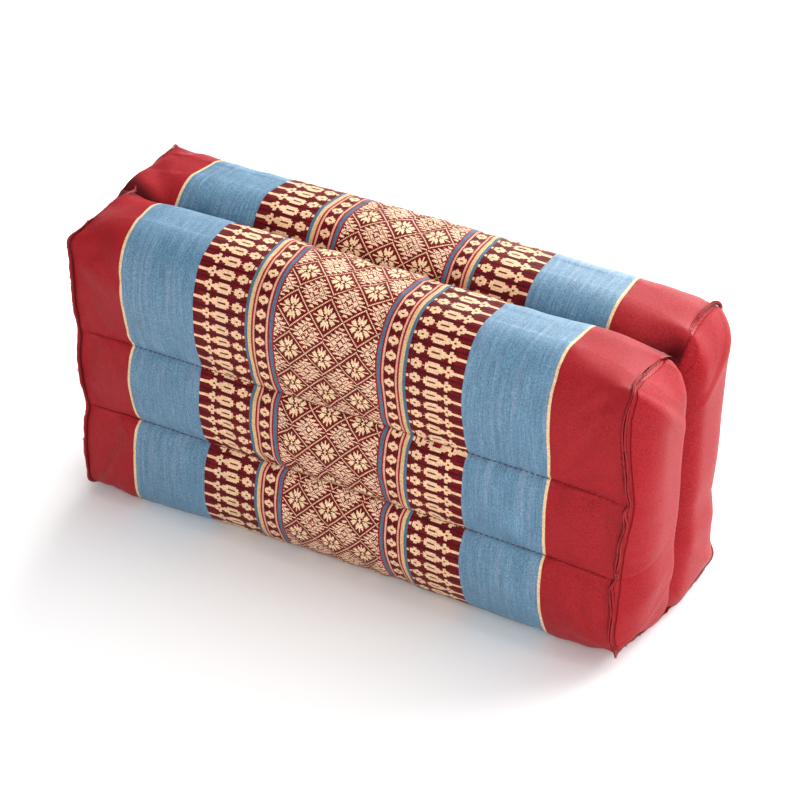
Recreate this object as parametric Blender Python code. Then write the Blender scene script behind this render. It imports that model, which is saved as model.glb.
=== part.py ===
"""Block meditation cushion of six filled cloth channels, standing on its long narrow side.

The frame: +X runs along the length, the front face looks to -Y, +Z is up, and the origin lies
on the surface it stands on, under the middle. Everything is in metres.

A woven wrap goes round the channels, an end panel closes each end, and a pinched seam joins
the two all round.
"""

import math
from collections import namedtuple

import bmesh
import bpy
import numpy as np

# The length between the two end seams.
LENGTH = 0.342

# Over this length from each end the section closes from the full form to the end seam.
END_RUN = 0.046
END_POWER = 2.0

# The two ends swell past their seams, with a groove between the front and the rear channels.
PANEL_CROWN = 0.0150
PANEL_CROWN_POWER = 6.0
PANEL_RISE_RUN = 0.026
PANEL_RISE_POWER = 0.85
PANEL_GROOVE_DEPTH = 0.0150
PANEL_GROOVE_HALF = 0.0120
PANEL_GROOVE_POWER = 1.4
# The sewn lines pinch the ends a little, over this much of their height to each side.
PANEL_PINCH = 0.0022
PANEL_PINCH_HALF = 0.009
# The groove stops this far short of the end seam, below and above.
GROOVE_INSET = 0.007

# The end panel's cloth, which starts a little way in from the edge, and the gap under it.
PANEL_THICK = 0.0020
PANEL_INSET = 0.0019
CLOTH_GAP = 0.0003

# The pinched seam is a small ridge that stands out between the wrap and the end panel.
SEAM_WIDTH = 0.0028
SEAM_HEIGHT = 0.0030
SEAM_LEAN_DEG = 28.0
SEAM_SIDES = 8

# Where the loft has its sections, as a share of the way from the middle to the end seam.
SECTION_SHARES = (0.0, 0.25, 0.50, 0.70, 0.79, 0.85, 0.90, 0.94, 0.975, 1.0)
# Where an end has its points, as a share of the way from its edge to the groove.
PANEL_SHARES = (0.10, 0.22, 0.40, 0.62, 0.84, 1.0)

# The lines that the cloth turns at, from the crease underneath, round the front, to the crease
# on top. y and z are their place in the full section, with y as the distance from the middle.
# seam_y, seam_z and seam_x are their place in the end seam, seam_x outwards from its plane.
# The cloth reaches a line from the one before in that many steps, as a quarter of a round
# form: first level or first upright, and the fullness is 1 for straight, 2 for an ellipse and
# more for a squarer corner.
Fold = namedtuple(
    "Fold", "name y z seam_y seam_z seam_x steps first fullness seam_fullness"
)
FOLDS = (
    Fold("bottom crease", 0.0, 0.010, 0.0, 0.0130, -0.003, 0, "", 0, 0),
    Fold("bed inner edge", 0.016, 0.0, 0.018, 0.0055, 0.0, 3, "upright", 1.9, 1.0),
    Fold("bed outer edge", 0.041, 0.0, 0.047, 0.0042, 0.001, 2, "level", 1.0, 1.0),
    Fold("bottom row crown", 0.0615, 0.042, 0.0592, 0.034, 0.001, 6, "level", 2.15, 5.0),
    Fold("lower seam", 0.0560, 0.0625, 0.0575, 0.0620, 0.001, 4, "upright", 2.0, 1.5),
    Fold("middle row crown", 0.0610, 0.0875, 0.0588, 0.0875, 0.002, 4, "level", 2.0, 1.5),
    Fold("upper seam", 0.0560, 0.1125, 0.0575, 0.1125, 0.003, 4, "upright", 2.0, 1.5),
    Fold("top row crown", 0.0615, 0.152, 0.0590, 0.148, 0.001, 5, "level", 1.7, 1.5),
    Fold("crest outer edge", 0.0380, 0.186, 0.0420, 0.176, 0.0, 7, "upright", 2.2, 5.0),
    Fold("crest inner edge", 0.0220, 0.186, 0.0180, 0.172, -0.001, 2, "level", 1.0, 1.0),
    Fold("top crease", 0.0, 0.162, 0.0, 0.165, -0.005, 5, "level", 1.9, 1.0),
)
# How far the four corners of an end seam stand out past its plane, as ears.
EAR_OUT = 0.0025

RED_CLOTH = (0.33, 0.022, 0.035)
BLUE_CLOTH = (0.11, 0.27, 0.42)
DARK_SEAM = (0.16, 0.012, 0.022)


def clear_scene():
    for obj in list(bpy.data.objects):
        bpy.data.objects.remove(obj)


def cloth_material(name, colour):
    material = bpy.data.materials.new(name)
    material.use_nodes = True
    shader = material.node_tree.nodes["Principled BSDF"]
    shader.inputs["Base Color"].default_value = (*colour, 1.0)
    shader.inputs["Roughness"].default_value = 0.9
    shader.inputs["Metallic"].default_value = 0.0
    return material


def quarter(start, end, first, fullness, share):
    """A point on a quarter of a rounded form from start to end, at a share of its turn."""
    turn = share * math.pi / 2
    power = 2.0 / fullness
    early = math.sin(turn) ** power
    late = 1.0 - max(0.0, math.cos(turn)) ** power
    across, along = (early, late) if first == "level" else (late, early)
    return (
        start[0] + (end[0] - start[0]) * across,
        start[1] + (end[1] - start[1]) * along,
    )


def half_sections():
    """The full section and the end seam from crease to crease, point for point.

    A row of the first is y, z. A row of the second is y, z and the way out past the seam's plane.
    """
    full = [(FOLDS[0].y, FOLDS[0].z)]
    seam = [(FOLDS[0].seam_y, FOLDS[0].seam_z, FOLDS[0].seam_x)]
    for before, fold in zip(FOLDS, FOLDS[1:]):
        corner = fold.seam_fullness > 2.0
        for step in range(1, fold.steps + 1):
            share = step / fold.steps
            full.append(
                quarter((before.y, before.z), (fold.y, fold.z), fold.first, fold.fullness, share)
            )
            y, z = quarter(
                (before.seam_y, before.seam_z),
                (fold.seam_y, fold.seam_z),
                fold.first,
                fold.seam_fullness,
                share,
            )
            out = before.seam_x + (fold.seam_x - before.seam_x) * share
            ear = EAR_OUT * math.sin(share * math.pi) ** 2 if corner else 0.0
            seam.append((y, z, out + ear))
    return np.array(full), np.array(seam)


def whole_loop(half):
    """A closed loop from a half section: up the front side, then down the rear side."""
    front = half.copy()
    front[:, 0] *= -1.0
    rear = half[-2:0:-1].copy()
    return np.vstack([front, rear])


def wrap_rings(full, seam, side):
    """The loft's sections from the middle to one end seam, side being -1 or +1."""
    full, seam = whole_loop(full), whole_loop(seam)
    rings = []
    for share in SECTION_SHARES:
        x = share * LENGTH / 2
        run = max(0.0, (x - (LENGTH / 2 - END_RUN)) / END_RUN)
        close = run**END_POWER
        ring = np.zeros((len(full), 3))
        ring[:, 0] = side * (x + seam[:, 2] * close)
        ring[:, 1:] = full * (1.0 - close) + seam[:, :2] * close
        rings.append(ring)
    return rings


def groove_line(seam):
    """Where the groove of an end runs, one point for each point of the half end seam."""
    steps = np.hypot(*np.diff(seam[:, :2], axis=0).T)
    along = np.concatenate([[0.0], np.cumsum(steps)]) / steps.sum()
    low = seam[0, 1] + GROOVE_INSET
    high = seam[-1, 1] - GROOVE_INSET
    return along, np.stack([0.0 * along, low + (high - low) * along], axis=1)


def panel_swell(along, heights):
    """How far an end swells out along its height, less where the sewn lines pinch it."""
    swell = PANEL_CROWN * (1.0 - np.abs(2.0 * along - 1.0) ** PANEL_CROWN_POWER)
    for fold in FOLDS:
        if fold.name in ("lower seam", "upper seam"):
            near = (heights - fold.seam_z) / PANEL_PINCH_HALF
            swell = swell - PANEL_PINCH * np.exp(-(near**2))
    return swell


def end_lobe(seam, side):
    """The front lobe of an end, as rows of points from the seam's edge to the groove.

    The first row is the edge itself, and the second is where the end panel starts.
    """
    along, groove = groove_line(seam)
    swell = panel_swell(along, groove[:, 1])
    reach = np.hypot(*(groove - seam[:, :2]).T)
    ways = [0.0 * reach]
    ways += [PANEL_INSET + (reach - PANEL_INSET) * share for share in (0.0, *PANEL_SHARES)]
    rows = []
    for way in ways:
        part = way / reach
        flat = seam[:, :2] + (groove - seam[:, :2]) * part[:, None]
        rise = np.clip(way / PANEL_RISE_RUN, 0.0, 1.0)
        near = np.clip(1.0 - flat[:, 0] / PANEL_GROOVE_HALF, 0.0, 1.0)
        out = (
            seam[:, 2] * (1.0 - part)
            + swell * (1.0 - (1.0 - rise) ** 2) ** PANEL_RISE_POWER
            - PANEL_GROOVE_DEPTH * near**PANEL_GROOVE_POWER * rise
        )
        rows.append(np.stack([side * (LENGTH / 2 + out), -flat[:, 0], flat[:, 1]], axis=1))
    return rows


def add_strip(mesh, first, second, closed):
    """Triangles between two rows of points of equal length.

    The split turns over half way along, so that a corner where both rows end is never cut flat.
    """
    a = [mesh.verts.new(p) for p in first]
    b = [mesh.verts.new(p) for p in second]
    for i in range(len(a) if closed else len(a) - 1):
        j = (i + 1) % len(a)
        if i < len(a) // 2:
            mesh.faces.new((a[i], a[j], b[i]))
            mesh.faces.new((a[j], b[j], b[i]))
        else:
            mesh.faces.new((a[i], a[j], b[j]))
            mesh.faces.new((a[i], b[j], b[i]))


def add_lobes(mesh, rows):
    """The front lobe's rows, and the rear lobe as its mirror."""
    for mirror in (1.0, -1.0):
        for first, second in zip(rows, rows[1:]):
            add_strip(mesh, first * (1.0, mirror, 1.0), second * (1.0, mirror, 1.0), False)


def weld(mesh):
    bmesh.ops.remove_doubles(mesh, verts=mesh.verts[:], dist=1e-6)


def finish(mesh, name, material, sharp_deg):
    """Turns the bmesh into a named object with outward faces and soft shading."""
    bmesh.ops.triangulate(mesh, faces=mesh.faces[:])
    bmesh.ops.recalc_face_normals(mesh, faces=mesh.faces[:])
    data = bpy.data.meshes.new(name)
    mesh.to_mesh(data)
    mesh.free()
    data.materials.append(material)
    data.shade_smooth()
    data.set_sharp_from_angle(angle=math.radians(sharp_deg))
    obj = bpy.data.objects.new(name, data)
    bpy.context.collection.objects.link(obj)
    return obj


def make_cushion(full, seam, material):
    """The filled wrap with its sewn channels, from one end's swell to the other's."""
    mesh = bmesh.new()
    for side in (-1.0, 1.0):
        rings = wrap_rings(full, seam, side)
        for first, second in zip(rings, rings[1:]):
            add_strip(mesh, first, second, True)
        add_lobes(mesh, end_lobe(seam, side))
    weld(mesh)
    return finish(mesh, "cushion", material, 60)


def mitred_offsets(mesh):
    """For each vertex, the move that carries every face beside it out by a length of one."""
    moves = []
    for vert in mesh.verts:
        normal = vert.normal
        least = min(normal.dot(face.normal) for face in vert.link_faces)
        moves.append(normal / max(least, 0.35))
    return moves


def make_end_panel(seam, side, name, material):
    """One end panel: a cloth of even thickness that follows the swell under it."""
    mesh = bmesh.new()
    add_lobes(mesh, end_lobe(seam, side)[1:])
    weld(mesh)
    bmesh.ops.recalc_face_normals(mesh, faces=mesh.faces[:])
    mesh.normal_update()
    if sum(face.normal.x * side for face in mesh.faces) < 0.0:
        bmesh.ops.reverse_faces(mesh, faces=mesh.faces[:])
        mesh.normal_update()
    moves = mitred_offsets(mesh)
    under = list(mesh.verts)
    over = [mesh.verts.new(v.co + m * (CLOTH_GAP + PANEL_THICK)) for v, m in zip(under, moves)]
    for vert, move in zip(under, moves):
        vert.co += move * CLOTH_GAP
    place = {vert: i for i, vert in enumerate(under)}
    rim = [edge for edge in mesh.edges if edge.is_boundary]
    lower = list(mesh.faces)
    for edge in rim:
        i, j = (place[v] for v in edge.verts)
        mesh.faces.new((under[i], under[j], over[j], over[i]))
    for face in lower:
        mesh.faces.new([over[place[v]] for v in face.verts])
    return finish(mesh, name, material, 60)


def make_end_seam(seam, side, name, material):
    """One pinched seam: a small ridge all round the end, just off the cushion's edge."""
    loop = whole_loop(seam)
    spots = np.stack([side * (LENGTH / 2 + loop[:, 2]), loop[:, 0], loop[:, 1]], axis=1)
    ahead = np.roll(spots, -1, axis=0) - np.roll(spots, 1, axis=0)
    ahead[:, 0] = 0.0
    ahead /= np.linalg.norm(ahead, axis=1)[:, None]
    outward = np.stack([np.zeros(len(ahead)), ahead[:, 2], -ahead[:, 1]], axis=1)
    centre = np.array([0.0, 0.0, spots[:, 2].mean()])
    if ((spots - centre) * outward).sum() < 0.0:
        outward = -outward
    lean = math.radians(SEAM_LEAN_DEG)
    up = outward * math.cos(lean) + np.array([side * math.sin(lean), 0.0, 0.0])
    sideways = np.cross(ahead, up)
    core = spots + up * (CLOTH_GAP + SEAM_HEIGHT / 2)
    strands = []
    for k in range(SEAM_SIDES):
        turn = 2.0 * math.pi * k / SEAM_SIDES
        strands.append(
            core
            + up * (SEAM_HEIGHT / 2 * math.cos(turn))
            + sideways * (SEAM_WIDTH / 2 * math.sin(turn))
        )
    mesh = bmesh.new()
    for first, second in zip(strands, strands[1:] + strands[:1]):
        add_strip(mesh, first, second, True)
    weld(mesh)
    return finish(mesh, name, material, 60)


def main():
    clear_scene()
    full, seam = half_sections()
    wrap_cloth = cloth_material("wrap_cloth", BLUE_CLOTH)
    panel_cloth = cloth_material("panel_cloth", RED_CLOTH)
    seam_cloth = cloth_material("seam_cloth", DARK_SEAM)
    make_cushion(full, seam, wrap_cloth)
    for side, end in ((-1.0, "left"), (1.0, "right")):
        make_end_panel(seam, side, f"end_panel_{end}", panel_cloth)
        make_end_seam(seam, side, f"end_seam_{end}", seam_cloth)


main()
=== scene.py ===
import math
from collections import namedtuple

import bmesh
import bpy
import numpy as np
from mathutils import Matrix, Vector


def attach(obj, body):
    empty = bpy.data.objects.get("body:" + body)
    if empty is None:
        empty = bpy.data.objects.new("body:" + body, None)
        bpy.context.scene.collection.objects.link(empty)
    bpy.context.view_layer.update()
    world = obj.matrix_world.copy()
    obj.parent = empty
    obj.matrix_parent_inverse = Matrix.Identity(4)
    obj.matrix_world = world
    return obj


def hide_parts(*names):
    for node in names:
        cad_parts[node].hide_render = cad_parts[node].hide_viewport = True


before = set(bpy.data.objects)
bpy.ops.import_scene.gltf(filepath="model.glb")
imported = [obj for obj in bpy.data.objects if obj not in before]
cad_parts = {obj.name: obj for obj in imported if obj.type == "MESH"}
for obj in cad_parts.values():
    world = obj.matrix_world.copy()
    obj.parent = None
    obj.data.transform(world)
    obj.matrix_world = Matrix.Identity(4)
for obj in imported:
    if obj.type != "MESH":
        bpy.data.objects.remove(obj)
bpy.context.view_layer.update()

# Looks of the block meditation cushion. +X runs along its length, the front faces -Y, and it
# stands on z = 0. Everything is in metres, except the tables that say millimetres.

BODY = "root"
MM = 0.001

# The length between the end seams, and the run over which the section closes towards them.
LENGTH = 0.342
END_RUN = 0.046
END_POWER = 2.0

# The swollen ends, in millimetres: a height, how far the left and the right end swell out past
# their seams there, and how deep the upright groove is.
SWELLS = (
    (4, 3.5, 1.5, 0), (12, 5, 4, 0),
    (20, 6.5, 7, 1), (32, 7.5, 11.5, 6),
    (48, 8, 15, 10.5), (62, 7, 13.8, 12),
    (85, 7.5, 14.5, 13.5), (112, 7, 14, 14),
    (135, 8, 14.6, 15.5), (152, 8.5, 14.8, 19.5),
    (166, 8, 13.5, 21.5), (180, 7, 11.5, 21.5),
)
# The forms of the rise from the seam, on the left (-1) and the right, and of the groove.
RISE_RUN = {-1.0: 0.032, 1.0: 0.026}
RISE_POWER = 0.85
GROOVE_HALF = 0.0135
GROOVE_POWER = 1.5
GROOVE_INSET = 0.007
PANEL_THICK = 0.0013
PANEL_INSET = 0.0019
CLOTH_GAP = 0.0003
# The end cloth is thinner at its sewn rim, row by row, and where it folds into the groove.
RIM_SHARES = (0.30, 0.60, 0.85)
GROOVE_SHARE = 0.20
GROOVE_FOLD = 0.0050
# A quarter of the end seam that is fuller than this is a square corner, which stands out.
SQUARE_CORNER = 2.0
EAR_OUT = 0.0025
SEAM_LEAN_DEG = {-1.0: 44.0, 1.0: 28.0}

# Spacing of the mesh along the length: in the body, and near the ends where the cloth puckers.
BODY_STEP = 0.0046
END_STEP = 0.0030
# Where an end has its rows of points, as a share of the way from its edge to the groove.
LOBE_SHARES = (
    0.06, 0.12, 0.19, 0.26, 0.34, 0.43, 0.52, 0.61, 0.70, 0.78, 0.84, 0.89, 0.93, 0.965, 1.0
)
# The two sides of a sewn line stand this far apart in the mesh, so that the weave may jump there.
SEWN_STEP = 0.0003
# The sewn lines, and how much cloth the allowance of each seam takes in.
TAKE_UPS = {"lower seam": 0.0056, "upper seam": 0.0075}

# The lines that the cloth turns at, as in the solid, with more steps between them.
Fold = namedtuple("Fold", "name y z seam_y seam_z seam_x steps first fullness seam_fullness")
FOLDS = (
    Fold("bottom crease", 0.0, 0.010, 0.0, 0.0130, -0.003, 0, "", 0, 0),
    Fold("bed inner edge", 0.016, 0.0, 0.018, 0.0055, 0.0, 7, "upright", 1.9, 1.0),
    Fold("bed outer edge", 0.041, 0.0, 0.047, 0.0042, 0.001, 6, "level", 1.0, 1.0),
    Fold("bottom row crown", 0.0615, 0.042, 0.0592, 0.034, 0.001, 14, "level", 2.15, 5.0),
    Fold("lower seam", 0.0560, 0.0625, 0.0575, 0.0620, 0.001, 8, "upright", 2.0, 1.5),
    Fold("middle row crown", 0.0610, 0.0875, 0.0588, 0.0875, 0.002, 8, "level", 2.0, 1.5),
    Fold("upper seam", 0.0560, 0.1125, 0.0575, 0.1125, 0.003, 8, "upright", 2.0, 1.5),
    Fold("top row crown", 0.0615, 0.152, 0.0590, 0.148, 0.001, 11, "level", 1.7, 1.5),
    Fold("crest outer edge", 0.0380, 0.186, 0.0420, 0.176, 0.0, 14, "upright", 2.2, 5.0),
    Fold("crest inner edge", 0.0220, 0.186, 0.0180, 0.172, -0.001, 8, "level", 1.0, 1.0),
    Fold("top crease", 0.0, 0.162, 0.0, 0.165, -0.005, 10, "level", 1.9, 1.0),
)

# The cloth simulation: how long it runs, its settings, and how much of its fine relief is kept.
SIM_FRAMES = 20
SIM_SETTINGS = dict(
    vertex_group_mass="sewn",
    quality=6,
    mass=0.25,
    tension_stiffness=25.0,
    compression_stiffness=25.0,
    shear_stiffness=10.0,
    bending_stiffness=0.35,
    shrink_min=-0.018,
    use_pressure=True,
    uniform_pressure_force=4.0,
)
SMOOTH_ROUNDS = 18
LOBE_ROUNDS = 10
RELIEF_CAP = 0.0016
RELIEF_SHARE = 0.75
# Where the cloth lies smoother than that: a place, how far it reaches each way, and how much of
# the relief goes there.
CALM_PLACE = (0.150, 0.032, 0.180)
CALM_REACH = (0.022, 0.026, 0.024)
CALM_SHARE = 0.85
# Where the wrap is rounded off after settling: how often, and how far each place reaches.
ROUND_OFF_TURNS = 16
ROUND_OFF_REACH = (0.012, 0.024, 0.020)
ROUND_OFF_PLACES = ((0.157, 0.026, 0.180), (0.157, -0.026, 0.180), (-0.157, -0.026, 0.180))
# The lowest that settled or nudged cloth may lie.
SETTLED_LOW = 0.0004
NUDGED_LOW = 0.0003

# Small gathers that run out from the end seams: their height on the wrap and on the end cloth,
# where they rise and fade, their lengths, the lowest ones of the wrap, and their seeds.
GATHER_WRAP = 0.00022
GATHER_END = 0.00045
GATHER_START = 0.0020
GATHER_REACH = 0.0105
GATHER_WAVES = (0.0073, 0.0102, 0.0157)
GATHER_FLOOR = 0.012
WRAP_SEEDS = {-1.0: 70, 1.0: 71}
END_SEEDS = {-1.0: 80, 1.0: 81}

# The weave: the middle of the pattern, the steps of its threads, and where the repeats start.
PATTERN_MIDDLE = -0.0025
END_STEP_X = 0.000694
PICK_STEP = 0.00069
DIAMOND_STEP = 0.00064
STAR_STEP = 0.00070
BEAD_START = 0.2181
STAR_START = 0.2196
STAR_MIDDLE = -0.0013
# The ends of the cushion lie this far out in the pattern, in the plain red.
PLAIN_RED = 0.2
# Where the top crease lies along the woven girth, how near to it the cloth is in shadow, how
# dark that is, and how much wider the shadow is in the pockets at the ends.
TOP_CREASE = 0.3229
CREASE_DARK = 0.0030
CREASE_CLEAR = 0.0125
CREASE_SHADE = 0.30
POCKET_FROM = 0.146
POCKET_FULL = 0.165
POCKET_WIDER = 0.0150


def quarter(start, end, first, fullness, share):
    """A point on a quarter of a rounded form from start to end, at a share of its turn."""
    turn = share * math.pi / 2
    power = 2.0 / fullness
    early = math.sin(turn) ** power
    late = 1.0 - max(0.0, math.cos(turn)) ** power
    across, along = (early, late) if first == "level" else (late, early)
    return start[0] + (end[0] - start[0]) * across, start[1] + (end[1] - start[1]) * along


def run_along(points):
    """How far along a line each of its points lies."""
    steps = np.linalg.norm(np.diff(points, axis=0), axis=1)
    return np.concatenate([[0.0], np.cumsum(steps)])


def unit(vectors):
    return vectors / np.linalg.norm(vectors, axis=1)[:, None]


def way_ahead(loop):
    """The way from the point before to the one after, at each point of a closed loop."""
    return np.roll(loop, -1, axis=0) - np.roll(loop, 1, axis=0)


def half_sections():
    """The full section and the end seam, the girth, the woven girth and the sewn points."""
    crease = FOLDS[0]
    full = [(crease.y, crease.z), (SEWN_STEP, crease.z)]
    seam = [(y, crease.seam_z, crease.seam_x) for y in (crease.seam_y, SEWN_STEP)]
    take_ups = {}
    sewn = [0, 1]
    for before, fold in zip(FOLDS, FOLDS[1:]):
        for step in range(1, fold.steps + 1):
            share = step / fold.steps
            ends = (before.y, before.z), (fold.y, fold.z)
            full.append(quarter(*ends, fold.first, fold.fullness, share))
            ends = (before.seam_y, before.seam_z), (fold.seam_y, fold.seam_z)
            out = before.seam_x + (fold.seam_x - before.seam_x) * share
            if fold.seam_fullness > SQUARE_CORNER:
                out += EAR_OUT * math.sin(share * math.pi) ** 2
            seam.append((*quarter(*ends, fold.first, fold.seam_fullness, share), out))
        if fold.name in TAKE_UPS:
            sewn += [len(full) - 1, len(full)]
            take_ups[len(full)] = TAKE_UPS[fold.name]
            full.append((fold.y, fold.z + SEWN_STEP))
            seam.append((fold.seam_y, fold.seam_z + SEWN_STEP, fold.seam_x))
    sewn.append(len(full) - 1)
    full, seam = np.array(full), np.array(seam)
    girth = run_along(full)
    woven = girth.copy()
    for number, take_up in take_ups.items():
        woven[number:] += take_up
    return full, seam, girth, woven, sewn


def mirrored(half):
    """A closed loop of a half section's points: up the front side, then down the rear side."""
    front = half.copy()
    front[:, 0] *= -1.0
    return np.concatenate([front, half[-2:0:-1]])


def closing(x):
    """How far the section has closed at x, from 0 in the body to 1 at the end seam."""
    return max(0.0, (abs(x) - (LENGTH / 2 - END_RUN)) / END_RUN) ** END_POWER


def waves(along, lengths, seed):
    """A smooth uneven wave along a line, about 1 high, from sines of a few lengths."""
    rng = np.random.default_rng(seed)
    sines = [np.sin(2 * math.pi * (along / length + rng.random())) for length in lengths]
    return sum(sines) / len(lengths) ** 0.5


def gather_fade(away):
    """Nothing on the seam itself, most a little way in, and gone beyond the gathers' reach."""
    return (1.0 - np.exp(-away / GATHER_START)) * np.exp(-((away / GATHER_REACH) ** 1.5))


def nearness(points, place, reach):
    """1 at a place, and less with the way from it, each way by its own reach."""
    away = (points - np.array(place)) / np.array(reach)
    return np.exp(-0.5 * (away**2).sum(axis=1))[:, None]


def tube_faces(rings):
    """The faces between closed rings of point numbers, each ring joined to the next."""
    faces = []
    for first, second in zip(rings, rings[1:]):
        for i in range(len(first)):
            j = (i + 1) % len(first)
            faces.append((first[i], first[j], second[j], second[i]))
    return faces


def grid_faces(rows, turned):
    """The faces between open rows of point numbers, without corners that fall together."""
    faces = []
    for first, second in zip(rows, rows[1:]):
        for i in range(len(first) - 1):
            face = [first[i], first[i + 1], second[i + 1], second[i]]
            corners = tuple(dict.fromkeys(face[::-1] if turned else face))
            if len(corners) > 2:
                faces.append(corners)
    return faces


def stations_along():
    """Where the rings of the wrap stand along the length."""
    middle = LENGTH / 2 - END_RUN
    body = np.linspace(-middle, middle, round(2 * middle / BODY_STEP) + 1)
    end = np.linspace(middle, LENGTH / 2, round(END_RUN / END_STEP) + 1)[1:]
    return np.concatenate([-end[::-1], body, end])


class Body:
    """The filled cushion as a grid of points, before the cloth is settled."""

    def __init__(self):
        self.full, self.seam, self.girth, self.woven, sewn = half_sections()
        self.points, self.cloth, self.places, self.faces = [], [], {}, []
        self.held = set()
        self.rings = [self.add_ring(x) for x in stations_along()]
        for ring in self.rings:
            for i in sewn:
                self.held.update((ring[i], ring[-i]))
        self.faces += tube_faces(self.rings)
        self.lobes = {}
        for side in (-1.0, 1.0):
            self.add_end(side)
        self.points = np.array(self.points)
        self.cloth = np.array(self.cloth)
        self.on_wrap = np.zeros(len(self.points), bool)
        self.on_wrap[np.concatenate(self.rings)] = True

    def add_point(self, point, cloth):
        """The number of a point, which is new only where there is none yet."""
        key = tuple(round(value * 1e7) for value in point)
        if key not in self.places:
            self.places[key] = len(self.points)
            self.points.append(tuple(point))
            self.cloth.append(cloth)
        return self.places[key]

    def add_ring(self, x):
        """One ring of the wrap. Its points keep x, the woven girth and the half girth."""
        close = closing(x)
        full, seam = mirrored(self.full), mirrored(self.seam)
        flat = full * (1.0 - close) + seam[:, :2] * close
        if close > 0.0:
            ahead = way_ahead(flat)
            outward = unit(np.stack([-ahead[:, 1], ahead[:, 0]], 1))
            steps = np.linalg.norm(np.roll(flat, -1, axis=0) - flat, axis=1)
            lift = waves(np.cumsum(steps), GATHER_WAVES, WRAP_SEEDS[math.copysign(1.0, x)])
            lift[flat[:, 1] < GATHER_FLOOR] = 0.0
            lift *= GATHER_WRAP * gather_fade(LENGTH / 2 - abs(x))
            flat = flat + outward * lift[:, None]
        woven = np.concatenate([self.woven, 2.0 * self.woven[-1] - self.woven[-2:0:-1]])
        girth = np.concatenate([self.girth, self.girth[-2:0:-1]])
        ring = []
        for (y, z), out, v, s in zip(flat, seam[:, 2], woven, girth):
            ring.append(self.add_point((x + math.copysign(out * close, x), y, z), (x, v, s)))
        if close == 1.0:
            self.held.update(ring)
        return ring

    def end_rows(self, side):
        """The front lobe of an end, as rows of points from the seam's edge to the groove."""
        seam, seam_out = self.seam[:, :2], self.seam[:, 2]
        along = run_along(seam)
        along /= along[-1]
        low, high = seam[0, 1] + GROOVE_INSET, seam[-1, 1] - GROOVE_INSET
        groove = np.stack([0.0 * along, low + (high - low) * along], axis=1)
        heights, lefts, rights, depths = MM * np.array(SWELLS).T
        swells = rights if side > 0.0 else lefts
        reach = np.linalg.norm(groove - seam, axis=1)
        lift = waves(self.girth, GATHER_WAVES, END_SEEDS[side])
        ways = [0.0 * reach]
        ways += [PANEL_INSET + (reach - PANEL_INSET) * share for share in (0.0, *LOBE_SHARES)]
        rows = []
        for way in ways:
            part = way / reach
            y, z = (seam + (groove - seam) * part[:, None]).T
            turn = np.clip(way / RISE_RUN[side], 0.0, 1.0)
            rise = (1.0 - (1.0 - turn) ** 2) ** RISE_POWER
            near = np.clip(1.0 - y / GROOVE_HALF, 0.0, 1.0) ** GROOVE_POWER
            swell = np.interp(z, heights, swells) - np.interp(z, heights, depths) * near
            out = seam_out * (1.0 - part) + swell * rise + GATHER_END * gather_fade(way) * lift
            rows.append(np.stack([side * (LENGTH / 2 + out), -y, z], axis=1))
        return rows

    def add_end(self, side):
        """Both lobes of an end. Their rows of point numbers are kept for the end panel."""
        rows = self.end_rows(side)
        for mirror in (1.0, -1.0):
            numbers = []
            for row in rows:
                row = row * (1.0, mirror, 1.0)
                numbers.append([self.add_point((x, y, z), (y, z, 0.0)) for x, y, z in row])
            self.faces += grid_faces(numbers, side * mirror < 0.0)
            self.held.update(numbers[-1])
            self.lobes[(side, mirror)] = numbers


def linked(name, data):
    obj = bpy.data.objects.new(name, data)
    bpy.context.scene.collection.objects.link(obj)
    return obj


def mesh_object(name, points, faces, smooth=True):
    data = bpy.data.meshes.new(name)
    data.from_pydata([tuple(p) for p in points], [], [tuple(f) for f in faces])
    data.update()
    if smooth:
        data.shade_smooth()
    return linked(name, data)


def turn_outward(obj):
    mesh = bmesh.new()
    mesh.from_mesh(obj.data)
    bmesh.ops.recalc_face_normals(mesh, faces=mesh.faces[:])
    mesh.to_mesh(obj.data)
    mesh.free()


def values_of(items, name, width=3, kind=float):
    flat = np.zeros(len(items) * width, kind)
    items.foreach_get(name, flat)
    return flat.reshape(-1, width)


def apply_modifiers(obj):
    graph = bpy.context.evaluated_depsgraph_get()
    data = bpy.data.meshes.new_from_object(obj.evaluated_get(graph))
    obj.modifiers.clear()
    obj.data = data


def cloth_piece(name, points, faces, material, cloth=None, finer=False):
    """A piece of the scene. Its points keep their place in the cloth, for the weave to follow."""
    obj = mesh_object(name, points, faces)
    turn_outward(obj)
    if cloth is not None:
        layer = obj.data.attributes.new("cloth", "FLOAT_VECTOR", "POINT")
        layer.data.foreach_set("vector", cloth.astype(np.float32).ravel())
    obj.data.materials.append(material)
    if finer:
        modifier = obj.modifiers.new("finer", "SUBSURF")
        modifier.levels = modifier.render_levels = 1
        apply_modifiers(obj)
        obj.data.shade_smooth()
    return obj


def spread(values, pairs, rounds, held):
    """Values smoothed over the mesh's edges, the held points staying where they are."""
    counts = np.bincount(pairs.ravel(), minlength=len(values))[:, None]
    result = values.copy()
    for _ in range(rounds):
        total = np.zeros_like(result)
        np.add.at(total, pairs[:, 0], result[pairs[:, 1]])
        np.add.at(total, pairs[:, 1], result[pairs[:, 0]])
        result = 0.5 * result + 0.5 * total / counts
        result[held] = values[held]
    return result


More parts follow.
